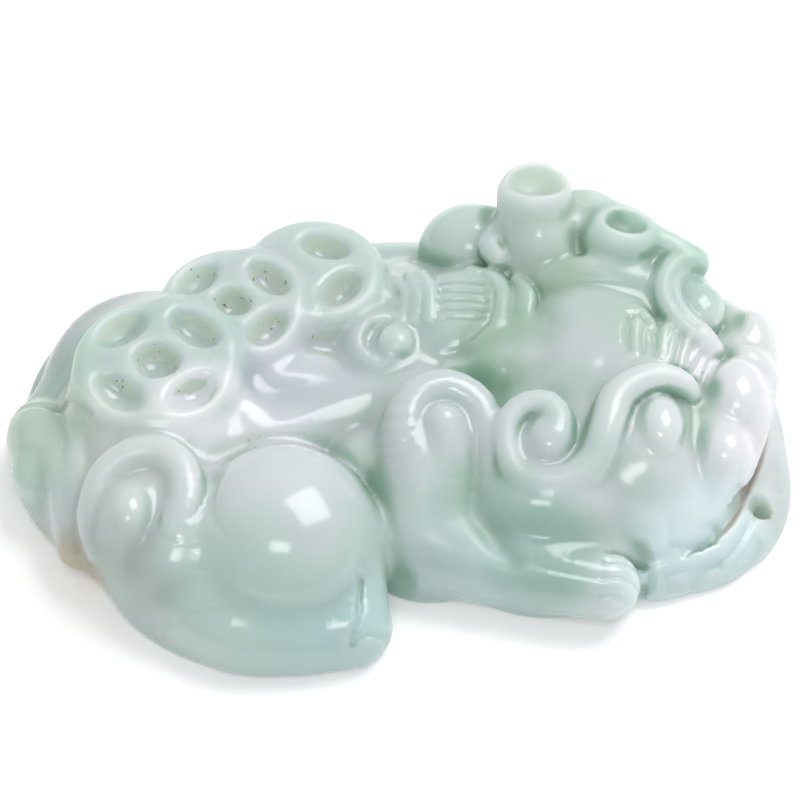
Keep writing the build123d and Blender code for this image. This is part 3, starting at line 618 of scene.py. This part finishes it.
def soft_least(a, b, blend):
    """The lesser of two distances, with the corner between them rounded over the blend.

    Where the two differ by less than the blend, a fourth of the blend times the square of the share of it
    that is left is taken off.
    """
    near = np.maximum(blend - np.abs(a - b), 0.0) / blend
    return np.minimum(a, b) - near * near * blend / 4


def change(part, sign, distance, blend, px, py, pz):
    """The distances once a form is added: a soft union, a soft cut, or a line pressed in.

    A line adds its depth times e to the minus square of the distance from it, over its width.
    """
    new = distance(px, py, pz)
    if sign == 0:
        wide, deep = blend
        return part + deep * np.exp(-(new / wide) ** 2)
    return sign * soft_least(sign * part, new, blend)


def field_on(xs, ys, zs):
    """Distance to the carved surface on a grid, negative in the stone.

    The forms are taken one after another, and the flat back is cut at Z = 0 when they are all there.
    """
    field = np.full((len(xs), len(ys), len(zs)), OUTSIDE)
    for sign, (distance, low, high), blend in steps:
        ends = zip((xs, ys, zs), low - CLEAR, high + CLEAR)
        i, j, k = (slice(*np.searchsorted(axis, (start, stop))) for axis, start, stop in ends)
        part = field[i, j, k]
        if part.size:
            place = xs[i, None, None], ys[None, j, None], zs[None, None, k]
            field[i, j, k] = change(part, sign, distance, blend, *place)
    return -soft_least(-field, zs[None, None, :] + 0 * field, BOTTOM_EDGE)


def field_at(points):
    """The same distance at any points."""
    field = np.full(len(points), OUTSIDE)
    for sign, (distance, low, high), blend in steps:
        near = ((points > low - CLEAR) & (points < high + CLEAR)).all(axis=1)
        field[near] = change(field[near], sign, distance, blend, *points[near].T)
    return -soft_least(-field, points[:, 2], BOTTOM_EDGE)


CORNERS = list(itertools.product((0, 1), repeat=3))


def in_one_piece(corners):
    """Whether these corners of a cube hang together along its edges."""
    left = set(corners)
    front = [left.pop()] if left else []
    while front:
        here = front.pop()
        near = {c for c in left if sum(a != b for a, b in zip(c, here)) == 1}
        left -= near
        front += near
    return not left


# For each of the 256 ways in which a cell's corners can lie in the stone, whether the stone and the air
# are both in one piece.
CLEAN = np.array([
    in_one_piece([c for n, c in enumerate(CORNERS) if code >> n & 1])
    and in_one_piece([c for n, c in enumerate(CORNERS) if not code >> n & 1])
    for code in range(256)
])


def corner_views(field):
    """The grid seen from each of a cell's eight corners."""
    nx, ny, nz = (size - 1 for size in field.shape)
    return [field[a:a + nx, b:b + ny, c:c + nz] for a, b, c in CORNERS]


HARDLY_IN = -1e-3        # distance of a place that only just counts as stone


def fill_pinches(field):
    """Where stone or air only touches at an edge or a corner, the air of that cell is made stone."""
    while True:
        views = corner_views(field)
        code = sum((view < 0).astype(int) << n for n, view in enumerate(views))
        pinched = ~CLEAN[code]
        if not pinched.any():
            return field
        for view in views:
            view[pinched & (view >= 0)] = HARDLY_IN


def skin(field, lows, side):
    """Surface nets on a grid whose cells are side across, from lows.

    Each cell that the surface crosses gets one point, the mean of the places where the distance goes
    through nought on the cell's edges. Each grid edge that is crossed gets a patch from the points of the
    four cells round it, turned so that it faces out of the stone.
    """
    views = dict(zip(CORNERS, corner_views(field)))
    crossings = 0
    total = np.zeros((*views[0, 0, 0].shape, 3))
    for start in CORNERS:
        for axis in range(3):
            if start[axis]:
                continue
            end = tuple(1 if n == axis else value for n, value in enumerate(start))
            a, b = views[start], views[end]
            crossed = (a < 0) != (b < 0)
            total[..., axis] += np.where(crossed, a / np.where(crossed, a - b, 1), 0)
            total += np.where(crossed[..., None], start, 0)
            crossings = crossings + crossed
    active = crossings > 0
    number = np.full(active.shape, -1)
    number[active] = np.arange(active.sum())
    points = (np.argwhere(active) + total[active] / crossings[active][:, None]) * side + lows
    patches = []
    for axis in range(3):
        u, v = (axis + 1) % 3, (axis + 2) % 3
        ahead = np.moveaxis(field < 0, axis, 0)
        changed = np.moveaxis(ahead[:-1] != ahead[1:], 0, axis)
        leaving = np.moveaxis(ahead[:-1], 0, axis)[changed]
        cells = [np.argwhere(changed) for _ in range(4)]
        for cell, (back_u, back_v) in zip(cells, ((1, 1), (0, 1), (0, 0), (1, 0))):
            cell[:, u] -= back_u
            cell[:, v] -= back_v
        patch = np.stack([number[tuple(cell.T)] for cell in cells], 1)
        patch[~leaving] = patch[~leaving, ::-1]
        patches.append(patch)
    return points, np.vstack(patches)


def outer_skin(count, patches):
    """The patches of the largest closed skin, which leaves out any bubble shut inside the stone."""
    label = np.arange(count)
    while True:
        least = label.copy()
        np.minimum.at(least, patches.ravel(), np.repeat(label[patches].min(axis=1), patches.shape[1]))
        least = least[least]
        if (least == label).all():
            break
        label = least
    skins, sizes = np.unique(label[patches[:, 0]], return_counts=True)
    return patches[label[patches[:, 0]] == skins[sizes.argmax()]]


def slope_at(points, step):
    """The field's gradient at points, from its differences over a step each way."""
    shifts = np.eye(3) * step
    changes = [field_at(points + shift) - field_at(points - shift) for shift in shifts]
    return np.stack(changes, 1) / (2 * step)


VOXEL = 0.25             # side of a cell of the grid
ROOM = 1                 # grid left round the drawing
low_corner = np.array([-27.0, -20.0, 0.0]) * SHARE - ROOM
high_corner = np.array([27.0, 19.5, 13.0]) * SHARE + ROOM
low_corner[2] = -1.5 * VOXEL  # the grid starts two rows below the flat back
xs, ys, zs = (np.arange(low, high, VOXEL) for low, high in zip(low_corner, high_corner))
points, patches = skin(fill_pinches(field_on(xs, ys, zs)), low_corner, VOXEL)
patches = outer_skin(len(points), patches)
used, patches = np.unique(patches, return_inverse=True)
points, patches = points[used], patches.reshape(-1, 4)
# The lowest points are laid exactly on the flat back:
on_back = points[:, 2] < 0.03 * VOXEL
points[on_back, 2] = 0

# Each point is moved twice by its distance over its slope, onto the exact surface. Its normal is the
# gradient there, taken over a longer step so that it is smoother.
MOVE_STEP = 0.03
NORMAL_STEP = 0.06
LONGEST_MOVE = 0.12
LEAST_SLOPE = 0.05       # square of the slope, where the field is nearly level
free = ~on_back
for _ in range(2):
    slope = slope_at(points[free], MOVE_STEP)
    move = field_at(points[free]) / np.maximum((slope ** 2).sum(1), LEAST_SLOPE)
    points[free] -= np.clip(move, -LONGEST_MOVE, LONGEST_MOVE)[:, None] * slope
    points[free, 2] = np.maximum(points[free, 2], 0)
slope = slope_at(points, NORMAL_STEP)
normals = slope / (np.linalg.norm(slope, axis=1)[:, None] + TINY)
normals[on_back] = (0, 0, -1)

# How deep in a hollow each point is, from the room in front of it, how thin the stone is behind it, and
# how near it is to the slit of the mouth. The colour uses the first for painted shade and the second for
# painted light:
FRONT_REACH = 2.6
BACK_REACH = 1.4
SLIT_REACH = 0.3
shut_in = np.clip(1 - field_at(points + normals * FRONT_REACH) / FRONT_REACH, 0, 1)
thin = np.clip(1 + field_at(points - normals * BACK_REACH) / BACK_REACH, 0, 1)
to_slit = strand(mouth, MOUTH_GAP / 2, MOUTH_STEEP)[0]
slit = np.clip(1 - to_slit(*points.T) / SLIT_REACH, 0, 1)

# The drawing is moved so that its cord hole lies where the record has it.
hole = next(mount for mount in frame["record"]["mounts"] if mount["name"] == "cord_hole")
points[:, :2] += 1000 * np.array(hole["pos_m"][:2]) - np.array(HOLE_PLACE) * SHARE[:2]

mesh = bpy.data.meshes.new("carved_jade")
mesh.from_pydata((points / 1000).tolist(), [], patches.tolist())
mesh.update()
for name, values in (("shut_in", shut_in), ("thin", thin), ("slit", slit)):
    mesh.attributes.new(name, "FLOAT", "POINT").data.foreach_set("value", values.astype(np.float32))
mesh.shade_smooth()
mesh.normals_split_custom_set_from_vertices(normals.tolist())
carved_jade = bpy.data.objects.new("carved_jade", mesh)
bpy.context.scene.collection.objects.link(carved_jade)

# Polish and colour of the jade
# The stone is cloudy white and pale green, and light goes a few millimetres into it. Shade in its
# hollows, folds and low places, and light through its thin forms, are also painted into its colour. It is
# polished with a wheel, more softly on the small forms and in the hollows. The tail's lower edge is still
# brown.
jade = bpy.data.materials.new("jade")
jade.use_nodes = True
nodes, links = jade.node_tree.nodes, jade.node_tree.links
shader = nodes["Principled BSDF"]
STONE_IOR = 1.6
LIGHT_REACH = 0.0028     # metres that light goes into the stone
shader.inputs["IOR"].default_value = STONE_IOR
shader.inputs["Subsurface Weight"].default_value = 1.0
shader.inputs["Subsurface Radius"].default_value = (1.0, 1.15, 1.05)
shader.inputs["Subsurface Scale"].default_value = LIGHT_REACH
shader.subsurface_method = "RANDOM_WALK"


def node(kind, **settings):
    new = nodes.new(kind)
    for name, value in settings.items():
        setattr(new, name, value)
    return new


def feed(socket, value):
    """Links another node's output to the socket, or sets the socket to a plain value."""
    if isinstance(value, bpy.types.NodeSocket):
        links.new(value, socket)
    else:
        socket.default_value = value


def mix(a, b, share):
    """Colour a with a share of colour b mixed in. A Mix node's colours are its inputs 6 and 7."""
    new = node("ShaderNodeMix", data_type="RGBA")
    feed(new.inputs[0], share)
    feed(new.inputs[6], a)
    feed(new.inputs[7], b)
    return new.outputs[2]


def both(a, b):
    """Two masks, or a mask and a share, multiplied."""
    new = node("ShaderNodeMath", operation="MULTIPLY")
    feed(new.inputs[0], a)
    feed(new.inputs[1], b)
    return new.outputs[0]


def ramp(source, low, high):
    """A mask that goes from 0 at low to 1 at high, eased at both ends."""
    new = node("ShaderNodeMapRange", interpolation_type="SMOOTHSTEP")
    feed(new.inputs["Value"], source)
    feed(new.inputs["From Min"], low)
    feed(new.inputs["From Max"], high)
    return new.outputs[0]


place = node("ShaderNodeTexCoord").outputs["Object"]


def cloud(scale, detail, seed):
    """A noise on the stone's own coordinates, whose scale is in waves per metre."""
    new = node("ShaderNodeTexNoise", noise_dimensions="4D")
    feed(new.inputs["Vector"], place)
    feed(new.inputs["W"], seed)
    feed(new.inputs["Scale"], scale)
    feed(new.inputs["Detail"], detail)
    return new.outputs["Fac"]


def attribute(name):
    return node("ShaderNodeAttribute", attribute_name=name).outputs["Fac"]


WHITE = (0.575, 0.64, 0.645, 1)
PALE_GREEN = (0.46, 0.605, 0.55, 1)
HOLLOW_SHADE_GREEN = (0.27, 0.44, 0.34, 1)
THIN_GLOW_WHITE = (0.66, 0.72, 0.72, 1)
LOW_SHADE_GREEN = (0.34, 0.45, 0.43, 1)
RIM_SHADE_GREY = (0.20, 0.26, 0.24, 1)
BROWN = (0.40, 0.31, 0.17, 1)
HOLLOW_LIGHT_TINT = (0.60, 0.67, 0.61, 1)
DUST = (0.12, 0.13, 0.10, 1)
ROUGE = (0.22, 0.15, 0.12, 1)
UNEVEN = 0.006           # metres that the edge of a cloud wanders
CORE = 0.4               # share of a cloud's reach within which it is full


def away_from(x, y, z):
    """Distance from a place in the stone, in metres, to which a slow noise adds up to UNEVEN."""
    off = node("ShaderNodeVectorMath", operation="DISTANCE")
    feed(off.inputs[0], place)
    feed(off.inputs[1], (x / 1000, y / 1000, z / 1000))
    uneven = node("ShaderNodeMath", operation="MULTIPLY_ADD")
    feed(uneven.inputs[0], cloud(160, 3, 3.0))
    feed(uneven.inputs[1], UNEVEN)
    feed(uneven.inputs[2], off.outputs["Value"])
    return uneven.outputs[0]


def around(x, y, z, reach):
    """A mask that is full in a cloud's core and gone past its reach, which is in mm."""
    return ramp(away_from(x, y, z), reach / 1000 + UNEVEN / 2, CORE * reach / 1000 + UNEVEN / 2)


colour = mix(WHITE, PALE_GREEN, ramp(cloud(70, 3, 1.0), 0.42, 0.66))
# Clouds in the stone: x, y and z of each in mm, how far it reaches, how strong it is, and its colour.
# Those marked as painted shade darken folds, hollows and places under or between forms.
for x, y, z, reach, strong, tint in (
    (-6.5, 0.5, 6.5, 7.0, 0.7, (0.57, 0.60, 0.67, 1)),  # flank
    (-7.6, 4.2, 6.5, 4.5, 0.6, (0.66, 0.69, 0.72, 1)),  # flank under the middle coin
    (-9.5, -6.5, 8.0, 8.0, 0.7, (0.70, 0.73, 0.755, 1)),  # top of the haunch
    (-10.0, -13.5, 4.5, 7.0, 0.7, (0.50, 0.67, 0.61, 1)),  # side of the haunch
    (-16.5, -6.3, 8.0, 4.5, 0.7, (0.64, 0.69, 0.68, 1)),  # hip curl
    (-12.4, -2.0, 8.9, 4.5, 0.9, (0.76, 0.78, 0.80, 1)),  # edge of the near coin
    (-20.6, -2.6, 6.2, 4.5, 0.8, (0.72, 0.745, 0.74, 1)),  # between coin and tail
    (-17.2, -12.6, 3.5, 5.0, 0.7, (0.41, 0.49, 0.45, 1)),  # below the hip curl, painted shade
    (22.5, -1.0, 6.5, 9.5, 1.0, (0.74, 0.75, 0.775, 1)),  # nose and upper lip
    (16.8, -2.8, 8.5, 5.5, 0.8, (0.68, 0.73, 0.735, 1)),  # eye
    (3.0, 9.5, 7.5, 9.0, 0.7, (0.50, 0.63, 0.585, 1)),  # wing
    (13.0, 12.0, 7.5, 8.0, 0.6, (0.50, 0.64, 0.575, 1)),  # far side of the mane
    (23.0, 6.2, 5.0, 4.5, 0.8, (0.72, 0.75, 0.745, 1)),  # far lobe of the nose
    (-23.5, -1.0, 5.0, 7.0, 0.9, (0.50, 0.62, 0.545, 1)),  # tail
    (5.0, -11.5, 3.5, 8.0, 0.6, (0.45, 0.59, 0.60, 1)),  # foreleg
    (20.8, -10.8, 2.0, 8.5, 0.9, (0.74, 0.86, 0.89, 1)),  # lower jaw
    (-4.0, -16.0, 2.0, 6.5, 0.7, (0.48, 0.64, 0.65, 1)),  # hind foot
    (7.2, 5.4, 7.0, 4.5, 0.8, (0.35, 0.51, 0.40, 1)),  # ear, painted shade of the valley it lies in
    (6.6, 1.6, 7.0, 3.5, 0.8, (0.37, 0.53, 0.42, 1)),  # groove in front of the ear, painted shade
    (5.6, -7.4, 5.0, 5.0, 0.7, (0.39, 0.56, 0.46, 1)),  # fold behind the cheek, painted shade
    (9.2, -10.2, 3.8, 5.0, 0.8, (0.34, 0.51, 0.45, 1)),  # between foreleg and cheek, painted shade
    (-2.6, -2.2, 6.0, 4.5, 0.4, (0.40, 0.52, 0.43, 1)),  # between haunch and shoulder, painted shade
    (11.0, 10.6, 6.6, 4.0, 0.9, (0.35, 0.50, 0.36, 1)),  # hollow behind the forehead, painted shade
    (9.6, 11.8, 7.6, 3.2, 0.6, (0.42, 0.56, 0.44, 1)),  # stem of the top curl
    (16.2, 4.4, 7.5, 4.0, 0.6, (0.47, 0.62, 0.51, 1)),  # bridge of the nose
    (8.6, 12.9, 8.7, 4.0, 0.9, (0.62, 0.72, 0.68, 1)),  # top curl
    (4.8, 14.5, 7.0, 5.0, 0.7, (0.56, 0.68, 0.64, 1)),  # lobe of the mane
    (18.9, -2.6, 6.2, 2.6, 0.8, (0.40, 0.56, 0.46, 1)),  # between the eye and the nose, painted shade
):
    colour = mix(colour, tint, both(around(x, y, z, reach), strong))
# Painted shade: the deeper a place lies in a hollow, the more it is painted deep green.
colour = mix(colour, HOLLOW_SHADE_GREEN, both(ramp(attribute("shut_in"), 0.2, 0.85), 0.9))
# Painted light: the thinner the stone behind a place, the whiter it is painted, for the light that shines
# through it.
colour = mix(colour, THIN_GLOW_WHITE, both(ramp(attribute("thin"), 0.4, 1.1), 0.5))
# Painted shade: the thin rim of the back is painted grey, for the dark that the stone lets through there:
for x, y in ((-24.6, 4.5), (-23.5, 7.0), (-22.1, 9.1), (-20.4, 10.9), (-18.4, 12.2), (-16.2, 13.2)):
    colour = mix(colour, RIM_SHADE_GREY, both(around(x, y, BACK_HEIGHT, 4.5), 0.35))
# Painted shade: less light gets into the stone low down, so its colour is painted deeper there:
split = node("ShaderNodeSeparateXYZ")
feed(split.inputs[0], place)
height = split.outputs["Z"]
colour = mix(colour, LOW_SHADE_GREEN, both(ramp(height, 0.004, 0.0), 0.65))
# Brown skin of the pebble along the tail's lower edge, in patches:
brown_patches = both(around(-21.5, -9.8, 0.0, 5.5), ramp(cloud(230, 4, 5.0), 0.30, 0.60))
colour = mix(colour, BROWN, brown_patches)
fainter_patches = both(ramp(cloud(230, 4, 7.0), 0.35, 0.6), 0.5)
colour = mix(colour, BROWN, both(around(-24.0, -6.0, 0.0, 4.0), fainter_patches))
# Painted light: the dishes of the coins and of the top curl, the hollow between the near coin and the
# tail, and the cord hole are painted paler than the other hollows, which takes back most of their painted
# shade:
hollow = ramp(attribute("shut_in"), 0.2, 0.6)
for x, y, z, reach in (
    (-14.0, 3.5, 8.0, 12.0),  # near and middle coins
    (-7.0, 9.5, 7.5, 8.0),  # far coin
    (-20.2, -2.8, 6.5, 6.0),  # between the near coin and the tail
    (9.0, 14.9, 10.5, 4.0),  # top curl
    (23.7, -5.7, 3.0, 4.5),  # cord hole
):
    colour = mix(colour, HOLLOW_LIGHT_TINT, both(both(hollow, around(x, y, z, reach)), 0.95))
# Specks of dust lie in the coins' dishes, but not under the coins' edges:
dusty = both(ramp(cloud(2400, 1, 9.0), 0.66, 0.72), ramp(attribute("shut_in"), 0.25, 0.5))
dusty = both(dusty, ramp(height, 0.006, 0.0065))
colour = mix(colour, DUST, both(dusty, around(-13.0, 4.5, 8.0, 12.0)))
# Rouge in the slit of the mouth:
colour = mix(colour, ROUGE, both(ramp(attribute("slit"), 0.3, 1.0), 0.8))
feed(shader.inputs["Base Color"], colour)

# The polish gets softer as the stone gets thinner, which is on the small forms:
FINE_POLISH = 0.15
SOFT_POLISH = 0.42
polish = node("ShaderNodeMapRange")
feed(polish.inputs["Value"], attribute("thin"))
feed(polish.inputs["From Min"], 0.12)
feed(polish.inputs["From Max"], 0.55)
feed(polish.inputs["To Min"], FINE_POLISH)
feed(polish.inputs["To Max"], SOFT_POLISH)
roughness = polish.outputs[0]
# The wheel can't get into the hollows, and has only passed lightly over the shoulder and the forearm:
for softer in (hollow, around(1.0, -8.2, 5.5, 5.5), around(4.8, -10.8, 5.0, 5.5)):
    rougher = node("ShaderNodeMath", operation="MAXIMUM")
    feed(rougher.inputs[0], roughness)
    feed(rougher.inputs[1], both(softer, SOFT_POLISH))
    roughness = rougher.outputs[0]
feed(shader.inputs["Roughness"], roughness)
mesh.materials.append(jade)
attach(carved_jade, "root")
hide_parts("pendant")

# Floor
# A wide sheet of white paper lies under the pendant. It glows a little, as paper on a light table does,
# so that hardly any shadow shows round the stone.
FLOOR_HALF = 3           # metres
PAPER_GLOW = 0.22
floor_corners = [(x * FLOOR_HALF, y * FLOOR_HALF, 0) for x, y in ((-1, -1), (1, -1), (1, 1), (-1, 1))]
floor_mesh = bpy.data.meshes.new("floor")
floor_mesh.from_pydata(floor_corners, [], [(0, 1, 2, 3)])
floor = bpy.data.objects.new("floor", floor_mesh)
bpy.context.scene.collection.objects.link(floor)
paper = bpy.data.materials.new("paper")
paper.use_nodes = True
paper_shader = paper.node_tree.nodes["Principled BSDF"]
paper_shader.inputs["Base Color"].default_value = (0.95, 0.95, 0.95, 1)
paper_shader.inputs["Roughness"].default_value = 0.9
paper_shader.inputs["Emission Color"].default_value = (1, 1, 1, 1)
paper_shader.inputs["Emission Strength"].default_value = PAPER_GLOW
floor_mesh.materials.append(paper)

# Light
# The room is pale. A large soft window is high up behind the pendant and to the right, and a small one
# near the camera. Both face the middle of the carving.
world = bpy.data.worlds.new("room")
world.use_nodes = True
world.node_tree.nodes["Background"].inputs["Color"].default_value = (1, 1, 1, 1)
world.node_tree.nodes["Background"].inputs["Strength"].default_value = 0.5
bpy.context.scene.world = world

target = Vector((0.00003, 0.00056, 0.00403))  # middle of the carving
WINDOW_FAR = 0.6


def window(name, toward, wide, high, watts):
    """A flat lamp that stands toward the given side of the carving, and faces it. Sizes are in metres."""
    data = bpy.data.lights.new(name, "AREA")
    data.shape = "RECTANGLE"
    data.size, data.size_y, data.energy = wide, high, watts
    lamp = bpy.data.objects.new(name, data)
    toward = Vector(toward).normalized()
    lamp.location = target + toward * WINDOW_FAR
    lamp.rotation_euler = toward.to_track_quat("Z", "Y").to_euler()
    bpy.context.scene.collection.objects.link(lamp)


window("window", (0.39, 0.32, 0.865), 0.36, 0.36, 2.0)
window("front_window", (-0.06, -0.47, 0.886), 0.22, 0.12, 0.5)

# Camera
# It looks down on the near side of the carving, from as near as one would hold it to look at it.
# Its lens makes a millimetre at the carving's middle about a fiftieth of the picture's width.
CAMERA_FAR = 350         # mm
LOOK_DOWN = 50           # degrees
SENSOR = 36              # mm
PICTURE = 800            # pixels across
MILLIMETRE = 15.2        # pixels that a millimetre takes up in the picture
camera_data = bpy.data.cameras.new("camera")
camera_data.sensor_width = SENSOR
camera_data.lens = SENSOR * MILLIMETRE * CAMERA_FAR / PICTURE
camera_data.shift_y = 0.025
camera_data.clip_start = 0.01
camera = bpy.data.objects.new("camera", camera_data)
away = Vector((0, -np.cos(np.radians(LOOK_DOWN)), np.sin(np.radians(LOOK_DOWN))))
camera.location = target + CAMERA_FAR / 1000 * away
camera.rotation_euler = (np.radians(90 - LOOK_DOWN), 0, 0)
bpy.context.scene.collection.objects.link(camera)
bpy.context.scene.camera = camera
bpy.context.scene.view_settings.view_transform = "Standard"
